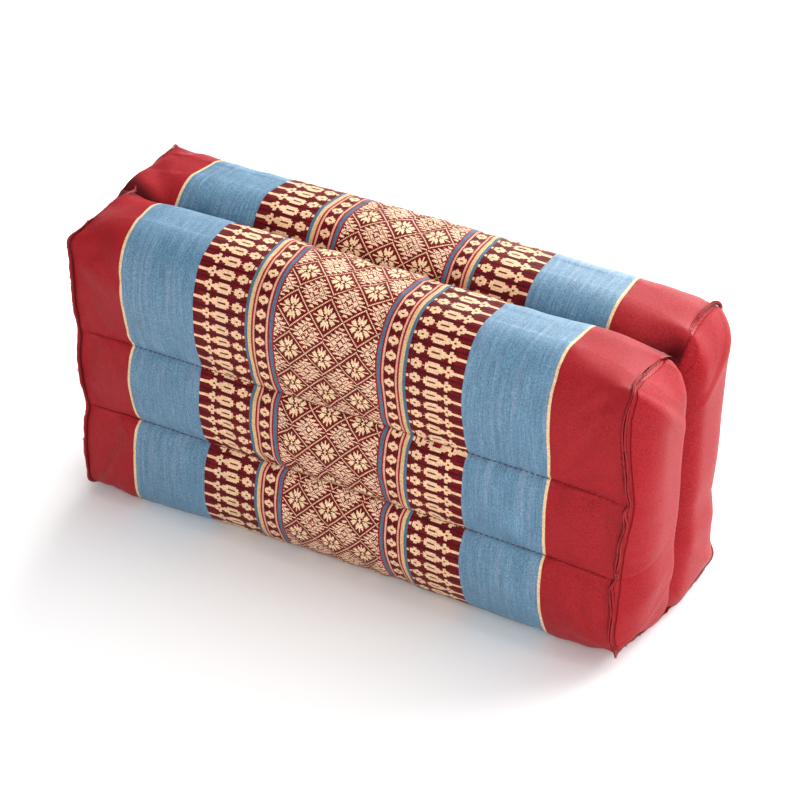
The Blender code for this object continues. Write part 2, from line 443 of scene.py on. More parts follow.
def blown_up(body, held):
    """How far the cloth moves when it is blown up between its sewn lines, and its mesh's edges."""
    obj = mesh_object("settled_cloth", body.points, body.faces)
    turn_outward(obj)
    obj.vertex_groups.new(name="sewn").add(held, 1.0, "REPLACE")
    modifier = obj.modifiers.new("cloth", "CLOTH")
    for name, value in SIM_SETTINGS.items():
        setattr(modifier.settings, name, value)
    modifier.settings.effector_weights.gravity = 0.0
    modifier.collision_settings.use_collision = False
    modifier.point_cache.frame_start = 1
    modifier.point_cache.frame_end = SIM_FRAMES
    for number in range(1, SIM_FRAMES + 1):
        bpy.context.scene.frame_set(number)
    apply_modifiers(obj)
    moved = values_of(obj.data.vertices, "co") - body.points
    pairs = values_of(obj.data.edges, "vertices", 2, int)
    bpy.data.objects.remove(obj)
    return moved, pairs


def settle_cloth(body):
    """The body's points with the fine relief of the blown-up cloth, and no more of it."""
    held = sorted(body.held)
    moved, pairs = blown_up(body, held)
    fine = moved - spread(moved, pairs, SMOOTH_ROUNDS, held)
    fine[~body.on_wrap] = spread(fine, pairs, LOBE_ROUNDS, held)[~body.on_wrap]
    size = np.linalg.norm(fine, axis=1)[:, None]
    fine *= RELIEF_SHARE * np.minimum(1.0, RELIEF_CAP / np.maximum(size, 1e-9))
    fine *= 1.0 - CALM_SHARE * nearness(body.points, CALM_PLACE, CALM_REACH)
    settled = body.points + fine
    rounded = spread(settled, pairs, ROUND_OFF_TURNS, held)
    for place in ROUND_OFF_PLACES:
        near = nearness(body.points, place, ROUND_OFF_REACH) * body.on_wrap[:, None]
        settled += near * (rounded - settled)
    settled[:, 2] = np.maximum(settled[:, 2], np.minimum(body.points[:, 2], SETTLED_LOW))
    return settled


# How far each woven line lies from its straight place, at stations of the half girth, all in
# millimetres. The sewn seams draw the cloth in, and the filling bows it between them. The
# lines: the left edges of the cream line, the bead band and the field, then the right ones.
DRIFTS = (
    (40, -0.4, 0, 0.9, 2.5, 1.2, 0.3), (62, 0.4, 0.3, 2.4, 3.5, 1.2, 0.1),
    (78, 1.8, -0.1, 1.9, 2.2, 1.2, -0.5), (97, 2.8, 1.1, 1.9, 1.4, 0.3, -1.3),
    (112, 3.2, 2.1, 2.5, 1.3, 0.5, -1.4), (119, 5.2, 3, 4.3, 3, 1.5, -1.2),
    (127, 3.6, -0.3, 1, 1.3, 1.1, -0.1), (145, 1.4, -0.9, -0.4, 0.2, 0.7, -0.4),
    (164, 1.8, -0.8, 0.1, 0.6, 0.5, -0.7), (171, 3.4, -1.2, 1.4, 1.9, 1.6, -0.6),
    (179, 1.1, -1.6, -0.2, 0.5, 0.8, 0), (206, 0.5, -1.6, -0.9, -0.8, -0.4, -0.2),
    (250, -0.1, -0.9, 0.8, 0.9, 1.1, -0.6), (275, -4.3, -3.9, -0.8, 2, 2.4, 0.8),
    (310, -3.8, -3.1, -0.8, 2, 2.3, 0.7),
)
# Where those six lines lie when straight, from the middle of the pattern.
DRIFT_PLACES = (-0.1340, -0.0836, -0.0330, 0.0330, 0.0836, 0.1340)

# How far the woven rows lie from their straight place along the girth, at stations of the half
# girth, all in millimetres, in the bands: beads, diamonds and field, then the right ones.
ROW_DRIFTS = (
    (60, -0.8, -0.6, -0.8, -0.3, 1.2, 1), (76, -0.5, -0.6, -1.9, -1.4, 0.8, 0.4),
    (92, -0.6, -0.9, -1.1, -0.7, 1.1, 0.6), (104, 0.2, -0.5, -0.4, 0.2, 1.4, 0.8),
    (118, 0.3, -0.6, 0, 0.5, 1.1, 0.8), (120, 4.8, 6.2, -0.1, 1.8, 1.2, 0.8),
    (130, 3.6, 5.6, -0.5, 1.6, 0.5, -0.2), (138, 3, 4.4, -0.6, 1.4, -0.4, -1),
    (146, 2.1, 3.4, -0.6, 1.5, -0.6, -1.1), (156, 1.5, 2.6, -0.6, 1.7, -1.2, -1.7),
    (170, 1.5, 2.7, -0.3, 1.9, -1.5, -1.8), (173, 0.9, 2.2, 1.1, 1.6, 3.4, 3.1),
    (184, 1, 2.1, 1.3, 1.1, 2.5, 2.3), (192, 0.8, 1.8, 1.2, 0.9, 1.5, 1.5),
    (200, 0.2, 1, 0.8, 0.3, 0.5, 0.5), (216, 0.3, 0.9, 1.1, 0.5, 0.2, 0.3),
    (230, 0.7, 1.2, 1.9, 1.4, 0.5, 0.7), (240, 0, 0.5, 1.9, 1.2, -0.3, -0.1),
    (254, -0.2, -0.1, 1.4, 0.8, -1.4, -1.1),
)
# The places across the pattern that those drifts hold at, and which column each one takes.
ROW_PLACES = (-0.0515, -0.0470, -0.0390, -0.0250, 0.0200, 0.0350, 0.0430, 0.0470)
ROW_COLUMNS = (1, 2, 2, 3, 4, 5, 5, 6)


def drift_at(flat, girth, rows, places, columns):
    """The drift at places across the pattern and along the half girth, both given as arrays."""
    table = MM * np.array(rows)
    shift = np.stack([np.interp(girth, table[:, 0], table[:, k]) for k in columns])
    return np.array([np.interp(flat[i], places, shift[:, i]) for i in range(len(flat))])


def woven_places(x, along, girth):
    """The places across and along the pattern that lie at x, and along at a half girth."""
    flat = x - PATTERN_MIDDLE
    across = flat - drift_at(flat, girth, DRIFTS, DRIFT_PLACES, range(1, 7))
    return across, along - drift_at(flat, girth, ROW_DRIFTS, ROW_PLACES, ROW_COLUMNS)


# Where the real cushion leaves the even form, in millimetres: a place, how far it moves there,
# and how far that reaches each way.
NUDGES = (
    # The four top corners.
    ((-173, -58, 172), (0, 0, -3.5), (18, 18, 18)),
    ((173, -58, 172), (0, 0, 4), (14, 14, 14)),
    ((171, -30, 176), (0, 0, 1.8), (10, 12, 12)),
    ((-173, 58, 172), (-3, 0, 5), (16, 16, 16)),
    # The end seams' upright runs: the right one bows out, the left one is drawn in.
    ((173, -58, 112.5), (3.5, -1, 0), (12, 12, 18)),
    ((-173, -58, 80), (1.8, 0, 0), (14, 14, 60)),
    ((-173, -58, 112.5), (2.2, 0, 0), (14, 10, 8)),
    ((-173, -58, 64), (2.2, 0, 0), (14, 10, 8)),
    # The notches between the rows: nearly level on the left, folded over itself on the right.
    ((-171, 0, 166), (0, -2, 11), (16, 14, 14)),
    ((-172, 26, 176), (-2, 0, 4.5), (16, 16, 14)),
    ((-172, -36, 178), (0, 0, 1.8), (16, 14, 14)),
    ((172, -9, 168), (1.5, 1, 5.2), (12, 8, 8)),
    ((171, 14, 171), (2, 3, 3), (12, 7, 8)),
    ((163, 4, 168), (0, 0, -12), (5.8, 5, 12)),
    # Small tucks under the front corners' ears.
    ((160, -60.5, 165.5), (0, 2.2, -0.8), (3.8, 6, 4.5)),
    ((-161, -60.5, 166), (0, 2.2, -0.8), (3.8, 6, 4.5)),
    ((-153, -55, 170), (0, 1.2, -1.2), (3.4, 5, 5)),
    # The foot of each end, rounded at the front corners and out at the rear right one.
    ((-171, -60, 4), (3, 1.8, 2.8), (10, 12, 10)),
    ((171, -58, 6), (0, 2.6, 4.8), (9, 12, 10)),
    ((172, 40, 4), (10, 0, 0), (22, 34, 18)),
    ((172, 0, 12), (3, 0, -8), (20, 16, 12)),
    # The crests and the foot of the front.
    ((-30, 30, 186), (0, 0, 1.5), (50, 30, 20)),
    ((130, 30, 186), (0, 0, -1.2), (30, 30, 20)),
    ((163, 36, 182), (0, 0, 1.4), (11, 18, 14)),
    ((153, -15, 180), (0, 1.6, 3.4), (13, 13, 13)),
    ((-140, -56, 10), (0, -2.5, -3), (40, 20, 14)),
    ((70, -56, 10), (0, 1.2, 1.4), (70, 20, 14)),
)


def nudged(points):
    """The points with the uneven settling of the real cushion, none of them below the floor."""
    result = points.copy()
    for place, move, reach in MM * np.array(NUDGES):
        result += nearness(points, place, reach) * move
    result[:, 2] = np.maximum(result[:, 2], np.minimum(points[:, 2], NUDGED_LOW))
    return result


def make_wrap(body, settled, material):
    cloth = body.cloth.copy()
    on_wrap = body.on_wrap
    cloth[on_wrap, 0], cloth[on_wrap, 1] = woven_places(*cloth[on_wrap].T)
    cloth[~on_wrap, 0] = np.copysign(PLAIN_RED, body.points[~on_wrap, 0])
    cloth[:, 2] = on_wrap
    return cloth_piece("cushion_wrap", nudged(settled), body.faces, material, cloth, finer=True)


def make_end_panel(body, settled, side, name, material):
    """The end's cloth: a thin even sheet."""
    points = nudged(settled)
    whole = mesh_object("normals_only", points, body.faces)
    turn_outward(whole)
    outward = values_of(whole.data.vertices, "normal")
    bpy.data.objects.remove(whole)
    used, faces = {}, []
    shares = np.ones(len(points))
    for mirror in (1.0, -1.0):
        rows = body.lobes[(side, mirror)][1:]
        for row, share in zip(rows, RIM_SHARES):
            shares[row] = share
        for corners in grid_faces(rows, side * mirror < 0.0):
            faces.append([used.setdefault(n, len(used)) for n in corners])
    numbers, count = list(used), len(used)
    points, outward, place = points[numbers], outward[numbers], body.points[numbers]
    folded = np.exp(-((place[:, 1] / GROOVE_FOLD) ** 2))
    thick = PANEL_THICK * shares[numbers] * (1.0 - (1.0 - GROOVE_SHARE) * folded)
    under = points + outward * CLOTH_GAP
    over = points + outward * (CLOTH_GAP + thick)[:, None]
    edges = dict.fromkeys((a, b) for face in faces for a, b in zip(face, face[1:] + face[:1]))
    sheet = [[n + count for n in face] for face in faces]
    back = [face[::-1] for face in faces]
    rim = [[b, a, a + count, b + count] for a, b in edges if (b, a) not in edges]
    cloth = np.stack([place[:, 1], place[:, 2], np.zeros(count)], 1)
    both = np.concatenate([under, over])
    return cloth_piece(
        name, both, sheet + back + rim, material, np.concatenate([cloth, cloth]), finer=True
    )


# The pinched end seam, cut across: two small folded lips with a slot between them. Each point is
# the way across and the way up from the seam line, in shares of its width and height.
LIPS = (
    (-0.50, -0.35), (-0.53, 0.15), (-0.50, 0.62), (-0.40, 0.92),
    (-0.27, 1.00), (-0.14, 0.86), (-0.06, 0.40), (0.00, 0.10),
    (0.06, 0.40), (0.14, 0.82), (0.27, 0.96), (0.40, 0.88),
    (0.50, 0.58), (0.53, 0.12), (0.50, -0.35), (0.00, -0.50),
)
LIP_WIDTH = 0.0023
LIP_HEIGHTS = {-1.0: 0.0016, 1.0: 0.0021}
LIP_STEP = 0.0010
SLOT_HALF = 0.2
# Along the top the lips lie nearly flush, they are smaller at the foot, and where a sewn line
# meets them they are tied shut.
TOP_FROM = 0.163
TOP_FULL = 0.174
TOP_WIDTH = 0.60
TOP_HEIGHT = 0.36
FOOT_FROM = 0.030
FOOT_FULL = 0.012
FOOT_SHARE = 0.62
TIE_REACH = 0.0035
TIE_WIDTH = 0.70
KINK = 0.0017
# The corners where the seam's lips stand up in a small ear: the place and how much higher.
EARS = ((0.0570, 0.1760), (0.0555, 0.0070))
EAR_REACH = 0.0035
EAR_RISE = 0.0013
# How uneven the lips are: how much, and how often each of the waves goes round the end.
UNEVEN_WIDTH = (0.09, 19, 31, 47)
UNEVEN_HEIGHT = (0.12, 23, 37, 71)
UNEVEN_PLACE = (0.00035, 11, 17, 29)
UNEVEN_LEAN = (0.14, 13, 21, 34)
UNEVEN_SLOT = (0.4, 27, 43, 59)
# How deep the slot is, as a share of its form, how much less where it is tied, and its limits.
SLOT_DEPTH = 0.95
SLOT_TIED = 0.8
SLOT_LIMITS = (0.1, 1.3)


def resampled(loop, step):
    """A closed loop of points at even steps, with the way along it to each one."""
    closed = np.vstack([loop, loop[:1]])
    along = run_along(closed)
    count = round(along[-1] / step)
    wanted = np.arange(count) * along[-1] / count
    return np.stack([np.interp(wanted, along, closed[:, k]) for k in range(3)], 1), wanted


def smoothed(loop, rounds):
    for _ in range(rounds):
        loop = 0.5 * loop + 0.25 * (np.roll(loop, 1, axis=0) + np.roll(loop, -1, axis=0))
    return loop


def seam_frame(body, side):
    """The end seam's points with the ways along, up and across at each one."""
    loop = mirrored(body.seam)
    spots = np.stack([side * (LENGTH / 2 + loop[:, 2]), loop[:, 0], loop[:, 1]], axis=1)
    spots, along = resampled(spots, LIP_STEP)
    spots = smoothed(spots, 4)
    ahead = unit(smoothed(unit(way_ahead(spots) * (0.0, 1.0, 1.0)), 3))
    lean = math.radians(SEAM_LEAN_DEG[side])
    level = np.full(len(ahead), side * math.sin(lean))
    up = np.stack([level, -ahead[:, 2] * math.cos(lean), ahead[:, 1] * math.cos(lean)], axis=1)
    return spots, along, ahead, up, side * np.cross(ahead, up)


def lip_sizes(spots):
    """At each spot the lips' width and height as shares, how far a sewn line ties them and
    pulls them aside, and how near a corner's ear is."""
    y, z = np.abs(spots[:, 1]), spots[:, 2]
    top = np.clip((z - TOP_FROM) / (TOP_FULL - TOP_FROM), 0.0, 1.0)
    foot = np.clip((FOOT_FROM - z) / (FOOT_FROM - FOOT_FULL), 0.0, 1.0)
    small = 1.0 - (1.0 - FOOT_SHARE) * foot
    width = (1.0 - (1.0 - TOP_WIDTH) * top) * small
    height = (1.0 - (1.0 - TOP_HEIGHT) * top) * small
    tied, kink, ears = (np.zeros(len(spots)) for _ in range(3))
    for fold in FOLDS:
        if fold.name in TAKE_UPS:
            away = (z - fold.seam_z) / TIE_REACH
            near = np.exp(-0.5 * away**2)
            tied = np.maximum(tied, near)
            kink += KINK * away * near
    for ear_y, ear_z in EARS:
        away = np.hypot(y - ear_y, z - ear_z) / EAR_REACH
        ears = np.maximum(ears, np.exp(-0.5 * away**2))
    width *= 1.0 - (1.0 - TIE_WIDTH) * tied
    return width, height, tied, kink, ears


def make_end_seam(body, side, name, material, seed):
    """The two lips all round an end, uneven in width, height, place, lean and slot."""
    spots, along, _, up, across = seam_frame(body, side)
    total = along[-1] + along[1]
    wide, high, tied, kink, ears = lip_sizes(spots)

    def uneven(number, size, *turns):
        return size * waves(along, [total / turn for turn in turns], seed + number)

    width = LIP_WIDTH * wide * (1.0 + uneven(0, *UNEVEN_WIDTH))
    height = LIP_HEIGHTS[side] * high * (1.0 + uneven(1, *UNEVEN_HEIGHT)) + EAR_RISE * ears
    sway = uneven(2, *UNEVEN_PLACE) + kink
    lean_up = unit(up + across * uneven(3, *UNEVEN_LEAN)[:, None])
    slot = np.clip(SLOT_DEPTH + uneven(4, *UNEVEN_SLOT) - SLOT_TIED * tied, *SLOT_LIMITS)
    points, shade = [], []
    for i, spot in enumerate(spots):
        for a, h in LIPS:
            lift = 1.0 - (1.0 - h) * slot[i] if abs(a) < SLOT_HALF and h > 0.0 else h
            aside = across[i] * (a * width[i] + sway[i])
            points.append(spot + aside + lean_up[i] * (lift * height[i] + CLOTH_GAP))
            shade.append((along[i], a, lift))
    rings = np.arange(len(points)).reshape(-1, len(LIPS)).tolist()
    faces = tube_faces(rings + rings[:1])
    return cloth_piece(name, nudged(np.array(points)), faces, material, np.array(shade))


STITCH_SIDES = 6
STITCH_RINGS = 5
STITCH_END_SIZE = 0.45
# The stitches along the end seams: one pair every so many spots, and a few that cross both lips.
# Their places and the halves of the crossing ones are shares of the lips' width and height.
SEAM_STITCH_EVERY = 4
RUNNING_PLACE = (0.55, 0.30)
RUNNING_HALF = 0.0009
RUNNING_RISE = 0.00030
RUNNING_RADIUS = 0.00022
CROSSING_SHARE = 0.16
CROSSING_UP = 0.95
CROSSING_HALF = 0.45
CROSSING_SLANT = 0.0006
CROSSING_RISE = 0.0005
CROSSING_RADIUS = 0.00026
# The stitches of the sewn lines between the rows.
CHANNEL_PITCH = 0.0032
CHANNEL_LENGTH = 0.0021
CHANNEL_RISE = 0.0004
CHANNEL_RADIUS = 0.00024
CHANNEL_OUT = 0.0003
CHANNEL_END = 0.004


def stitch_points(start, end, rise, radius):
    """A short thread from start to end, arched by rise and sunk at both ends."""
    ahead = (end - start) / np.linalg.norm(end - start)
    high = rise / np.linalg.norm(rise)
    sideways = np.cross(ahead, high)
    rows = []
    for k in range(STITCH_RINGS):
        share = k / (STITCH_RINGS - 1)
        arch = math.sin(math.pi * share)
        core = start + (end - start) * share + rise * arch
        size = radius * (STITCH_END_SIZE + (1.0 - STITCH_END_SIZE) * arch)
        for j in range(STITCH_SIDES):
            turn = 2 * math.pi * j / STITCH_SIDES
            rows.append(core + size * (high * math.cos(turn) + sideways * math.sin(turn)))
    return rows


def make_stitches(name, stitches, material):
    """One mesh of many short threads. A stitch is start, end, rise and radius."""
    points, faces = [], []
    for stitch in stitches:
        first = len(points)
        points += stitch_points(*stitch)
        rings = np.arange(first, len(points)).reshape(STITCH_RINGS, STITCH_SIDES).tolist()
        faces += [*tube_faces(rings), rings[0][::-1], rings[-1]]
    return cloth_piece(name, nudged(np.array(points)), faces, material)


def seam_stitches(body, side, seed):
    """Running stitches at the foot of both lips, and a few across them."""
    spots, _, ahead, up, across = seam_frame(body, side)
    wide, high, _, kink, _ = lip_sizes(spots)
    wide, high = LIP_WIDTH * wide, LIP_HEIGHTS[side] * high
    rng = np.random.default_rng(seed)
    stitches = []
    aside, lifted = RUNNING_PLACE
    for i in range(0, len(spots) - SEAM_STITCH_EVERY, SEAM_STITCH_EVERY):
        middle = spots[i] + across[i] * kink[i]
        for way in (-1.0, 1.0):
            foot = middle + across[i] * way * wide[i] * aside + up[i] * high[i] * lifted
            half = ahead[i] * RUNNING_HALF * (0.8 + 0.4 * rng.random())
            rise = across[i] * way * RUNNING_RISE
            stitches.append((foot - half, foot + half, rise, RUNNING_RADIUS))
        if rng.random() < CROSSING_SHARE:
            top = middle + up[i] * (high[i] * CROSSING_UP + CLOTH_GAP)
            slant = ahead[i] * CROSSING_SLANT * (rng.random() - 0.5)
            half = across[i] * wide[i] * CROSSING_HALF + slant
            stitches.append((top - half, top + half, up[i] * CROSSING_RISE, CROSSING_RADIUS))
    return stitches


def channel_stitches():
    """The stitches of the sewn lines, deep in the creases of the front and the rear."""
    stitches = []
    reach = LENGTH / 2 - CHANNEL_END
    half = np.array([CHANNEL_LENGTH / 2, 0.0, 0.0])
    for fold in (fold for fold in FOLDS if fold.name in TAKE_UPS):
        for facing in (-1.0, 1.0):
            rise = np.array([0.0, facing * CHANNEL_RISE, 0.0])
            for x in np.arange(-reach, reach, CHANNEL_PITCH):
                close = closing(x)
                y = fold.y * (1.0 - close) + fold.seam_y * close
                z = fold.z * (1.0 - close) + fold.seam_z * close
                middle = np.array([x, facing * (y + CHANNEL_OUT), z + SEWN_STEP / 2])
                stitches.append((middle - half, middle + half, rise, CHANNEL_RADIUS))
    return stitches


# A chart's columns are kept in blocks of this many marks.
BLOCK = 16


def block_value(line, number):
    """The marks of one block of a chart's line, as a share of one in halves, quarters and so on."""
    marks = line[number * BLOCK : (number + 1) * BLOCK]
    return sum(0.5 ** (place + 1) for place, mark in enumerate(marks) if mark == "#")


class Graph:
    """A small helper to write a material's nodes as expressions."""

    def __init__(self, name):
        self.material = bpy.data.materials.new(name)
        self.material.use_nodes = True
        self.tree = self.material.node_tree
        self.shader = self.tree.nodes["Principled BSDF"]

    def put(self, socket, value):
        if hasattr(value, "is_output"):
            self.tree.links.new(value, socket)
        elif isinstance(value, tuple) and len(value) == 3 and len(socket.default_value) == 4:
            socket.default_value = (*value, 1.0)
        else:
            socket.default_value = value

    def node(self, kind, *values, **settings):
        """A new node with its settings, and its first inputs filled in where a value is given."""
        node = self.tree.nodes.new("ShaderNode" + kind)
        for name, value in settings.items():
            setattr(node, name, value)
        for socket, value in zip(node.inputs, values):
            if value is not None:
                self.put(socket, value)
        return node

    def math(self, operation, first, second=0.0, third=0.0):
        return self.node("Math", first, second, third, operation=operation).outputs[0]

    def times(self, first, second):
        return self.math("MULTIPLY", first, second)

    def minus(self, first, second):
        return self.math("SUBTRACT", first, second)

    def above(self, first, second):
        return self.math("GREATER_THAN", first, second)

    def mix(self, factor, first, second):
        # The colours are the node's seventh and eighth inputs.
        return self.node("Mix", factor, *[None] * 5, first, second, data_type="RGBA").outputs[2]

    def tint(self, colour, factor):
        """A colour made darker or lighter by a factor socket."""
        return self.node("VectorMath", colour, None, None, factor, operation="SCALE").outputs[0]

    def cloth_places(self):
        """The three numbers that the mesh keeps for the cloth."""
        place = self.node("Attribute", attribute_name="cloth").outputs["Vector"]
        return self.node("SeparateXYZ", place).outputs

    def join(self, x, y, z=0.0):
        return self.node("CombineXYZ", x, y, z).outputs[0]

    def noise(self, vector, scale=1.0, detail=2.0):
        return self.node("TexNoise", vector, None, scale, detail, 0.5).outputs["Fac"]

    def thread_noise(self, across, along, fine_across, fine_along):
        """Noise drawn out one way of the cloth: finer by one number across, by the other along."""
        return self.noise(self.join(self.times(across, fine_across), self.times(along, fine_along)))

    def stretch(self, value, low, high, new_low=0.0, new_high=1.0):
        return self.node("MapRange", value, low, high, new_low, new_high).outputs[0]

    def speckle(self, across, along, step):
        """A value from 0 to 1 for each small cell of thread, with no pattern to it."""
        cell = self.join(self.threads(across, step), self.threads(along, step))
        return self.node("TexWhiteNoise", cell, noise_dimensions="2D").outputs["Value"]

    def threads(self, value, step):
        return self.math("FLOOR", self.math("DIVIDE", value, step))

    def mirrored_step(self, value, step, half, early=0.5):
        """The number of steps to the nearest middle of a repeat, from 0 to half."""
        turned = self.math("PINGPONG", self.math("DIVIDE", value, step), float(half))
        return self.math("FLOOR", self.math("ADD", turned, early))

    def charted(self, column, row, chart):
        """1 where the chart has a mark at a column and row, else 0. Each row is one stop of a
        ramp, whose red, green and blue hold its first, second and third block of marks."""
        length, size = float(len(chart)), float(BLOCK)
        ramp = self.node("ValToRGB", self.math("DIVIDE", self.math("ADD", row, 0.5), length))
        stops = ramp.color_ramp
        stops.interpolation = "CONSTANT"
        while len(stops.elements) < len(chart):
            stops.elements.new(0.5)
        for number, line in enumerate(chart):
            stop = stops.elements[number]
            stop.position = number / len(chart)
            stop.color = (*(block_value(line, k) for k in range(3)), 1.0)
        channels = self.node("SeparateColor", ramp.outputs[0]).outputs
        block = self.math("FLOOR", self.math("DIVIDE", self.math("ADD", column, 0.5), size))
        value = 0.0
        for k in range(3):
            here = self.math("COMPARE", block, float(k), 0.25)
            value = self.math("MULTIPLY_ADD", channels[k], here, value)
        place = self.minus(column, self.times(block, size))
        power = self.math("POWER", 2.0, self.math("ADD", place, 1.0))
        shifted = self.times(self.math("ADD", value, 0.5**BLOCK / 2), power)
        mark = self.math("MODULO", self.math("FLOOR", shifted), 2.0)
        inside = self.times(self.math("LESS_THAN", row, length - 0.5), mark)
        return self.times(inside, self.above(column, -0.5))

    def shade_with(self, colour, roughness, gloss):
        self.put(self.shader.inputs["Base Color"], colour)
        self.put(self.shader.inputs["Roughness"], roughness)
        self.put(self.shader.inputs["Specular IOR Level"], gloss)

    def finish(self, colour, height, bump, gloss=0.15, roughness=0.48):
        """Sets the shader as cloth, and gives the material."""
        self.shade_with(colour, roughness, gloss)
        self.put(self.shader.inputs["Sheen Weight"], SHEEN)
        self.put(self.shader.inputs["Sheen Roughness"], SHEEN_ROUGHNESS)
        node = self.node("Bump", bump, BUMP_DISTANCE)
        self.put(node.inputs["Height"], height)
        self.put(self.shader.inputs["Normal"], node.outputs[0])
        return self.material


BUMP_DISTANCE = 0.0003
SHEEN = 0.01
SHEEN_ROUGHNESS = 0.45

# One row of beads as runs of columns from the wide blue stripe to the narrow one, and its mirror
# below: how many half picks each run reaches from the middle, and how many of those are left out.
BEAD_RUNS = (
    (9, 3, 0), (1, 5, 0), (2, 6, 0), (2, 10, 2), (1, 9, 0), (2, 3, 0),
    (1, 4, 0), (3, 6, 0), (1, 9, 0), (1, 9, 1), (7, 9, 2), (1, 9, 0),
    (2, 6, 0), (3, 1, 0), (1, 5, 0), (2, 6, 0), (1, 9, 0), (2, 9, 2),
    (2, 6, 0), (1, 5, 0), (1, 0, 0), (2, 3, 0),
)
BEAD_ROWS = 13
# A quarter of the hollow diamond of the narrow border, from its centre.
DIAMOND_CHART = (
    "..###",
    "#####",
    "####.",
    "##...",
    "#....",
    ".....",
    ".....",
)
# A quarter of the star flower, from its centre.
STAR_CHART = (
    "##.....#####....",
    "#..####.........",
    "#...####........",
    ".##.#####.......",
    "###..###........",
    "####..#.........",
    "####............",
    "#.##............",
    "#..#............",
    "#...............",
    "#...............",
)
FIELD_COLUMNS = 16
FIELD_ROWS = 18
# The rings of the field's repeat, counted along the diagonal from the star flower's middle.
CELL_REACH = 14
DARK_RINGS = (14, 16, 24)
# The triangles: the rings that are dark in each row of their three, first and last.
TRIANGLE_ROWS = ((17, 19), (17, 21), (17, 17))
LOZENGE_RINGS = (28, 29)
# A ring with a dark mark in one row of every three: the ring, the step and that row.
DOTTED_RINGS = ((22, 3, 1), (26, 3, 0))


def bead_chart():
    """The bead's runs as a chart, from its middle outwards."""
    lines = [""] * BEAD_ROWS
    for columns, reach, left_out in BEAD_RUNS:
        for row in range(BEAD_ROWS):
            lines[row] += columns * ("#" if left_out <= row < reach else ".")
    return lines


def field_mark(column, row):
    """One mark of the field's repeat: the star flower in its cell, then light and dark lines,
    small triangles with level bars between them, and a hollow lozenge at the far corner."""
    ring = column + row
    if ring < CELL_REACH:
        return STAR_CHART[row][column] if row < len(STAR_CHART) else "."
    first, last = TRIANGLE_ROWS[row % 3]
    dark = ring in DARK_RINGS or first <= ring <= last
    dark = dark or (ring in LOZENGE_RINGS and row < FIELD_ROWS - 1)
    dark = dark or any(ring == dotted and row % step == turn for dotted, step, turn in DOTTED_RINGS)
    return "." if dark else "#"


def field_chart():
    columns = range(FIELD_COLUMNS)
    return ["".join(field_mark(column, row) for column in columns) for row in range(FIELD_ROWS)]


RED = (0.300, 0.0118, 0.0165)
CREAM = (0.760, 0.490, 0.300)
FIELD_CREAM = (0.780, 0.560, 0.345)
FILLED_CREAM = (0.780, 0.520, 0.350)
PINK_CREAM = (0.620, 0.310, 0.220)
WARM_CREAM = (0.600, 0.395, 0.205)
EDGE_CREAM = (0.690, 0.500, 0.290)
BLUE_LIGHT = (0.138, 0.288, 0.414)
BLUE_DARK = (0.043, 0.110, 0.190)
BLUE_PINK = (0.320, 0.258, 0.302)
STRIPE_BLUE = (0.062, 0.132, 0.190)
GROUND_BRIGHT = (0.250, 0.0110, 0.0170)
GROUND_DARK = (0.080, 0.0040, 0.0050)
GROUND_GAP = (0.031, 0.0032, 0.0055)
FIELD_GROUND = (0.085, 0.0040, 0.0048)
# The lips' colours: painted shade deep in the gap between them, and nearly the cloth's red on their
# edges.
LIP_GAP_SHADE = (0.120, 0.0050, 0.0070)
LIP_EDGE = (0.290, 0.0112, 0.0160)
THREAD_DARK = (0.075, 0.004, 0.006)
THREAD_LIGHT = (0.160, 0.008, 0.012)
# How glossy the cloth is: the patterned part and the end panels, and how much more where the
# weave is the smooth blue or the red of the wrap's ends.
CLOTH_GLOSS = 0.06
BLUE_GLOSS = 0.42
RED_GLOSS = 0.04

# How fine the noise of the threads is across and along, in all the cloth, in the blue and in the
# red ground.
SHORT_RUNS = (2400.0, 800.0)
STREAKS = (1700.0, 60.0)
BANDS = (420.0, 14.0)
SLUBS = (110.0, 1500.0)
# The cells of single threads: in all the cloth, in the blue, and where light threads are broken,
# with the share of them that is.
CLOTH_CELL = 0.00045
BLUE_CELL = 0.00066
BROKEN_CELL = 0.00071
BROKEN_SHARE = 0.08

# The stripes of the wrap, from the middle of the pattern outwards: name, width and colour.
STRIPES = (
    ("field", 0.0317, FIELD_GROUND),
    ("red line", 0.0010, RED),
    ("inner blue", 0.0020, STRIPE_BLUE),
    ("red line", 0.0010, GROUND_BRIGHT),
    ("pale line", 0.0012, PINK_CREAM),
    ("diamond border", 0.0070, GROUND_DARK),
    ("pale line", 0.0011, PINK_CREAM),
    ("red line", 0.0011, RED),
    ("cream stripe", 0.0022, WARM_CREAM),
    ("narrow blue", 0.0018, STRIPE_BLUE),
    ("bead band", 0.0335, GROUND_DARK),
    ("wide blue", 0.0495, BLUE_LIGHT),
    ("cream edge", 0.0017, EDGE_CREAM),
    ("red end", 1.0, RED),
)


def stripe_edges():
    """Where each stripe starts and ends, by name. Of stripes with one name the last is kept."""
    edges, start = {}, 0.0
    for name, width, _ in STRIPES:
        edges[name] = (start, start + width)
        start += width
    return edges


def weave_parts(g, patch_scale):
    """The places in the cloth, its uneven light and dark, and its fine relief."""
    across, along, _ = g.cloth_places()
    place = g.join(across, along)
    patches = g.stretch(g.noise(place, patch_scale, 3.0), 0.3, 0.7, 0.94, 1.05)
    cells = g.stretch(g.speckle(across, along, CLOTH_CELL), 0.0, 1.0, 0.74, 1.26)
    runs = g.stretch(g.thread_noise(across, along, *SHORT_RUNS), 0.25, 0.75, 0.86, 1.14)
    shade = g.times(patches, g.times(cells, runs))
    warp = g.math("SINE", g.times(across, 2 * math.pi / END_STEP_X))
    weft = g.math("SINE", g.times(along, 2 * math.pi / PICK_STEP))
    grain = g.times(g.noise(place, 1500.0, 1.0), 0.8)
    return across, along, shade, g.math("ADD", g.times(warp, weft), grain)


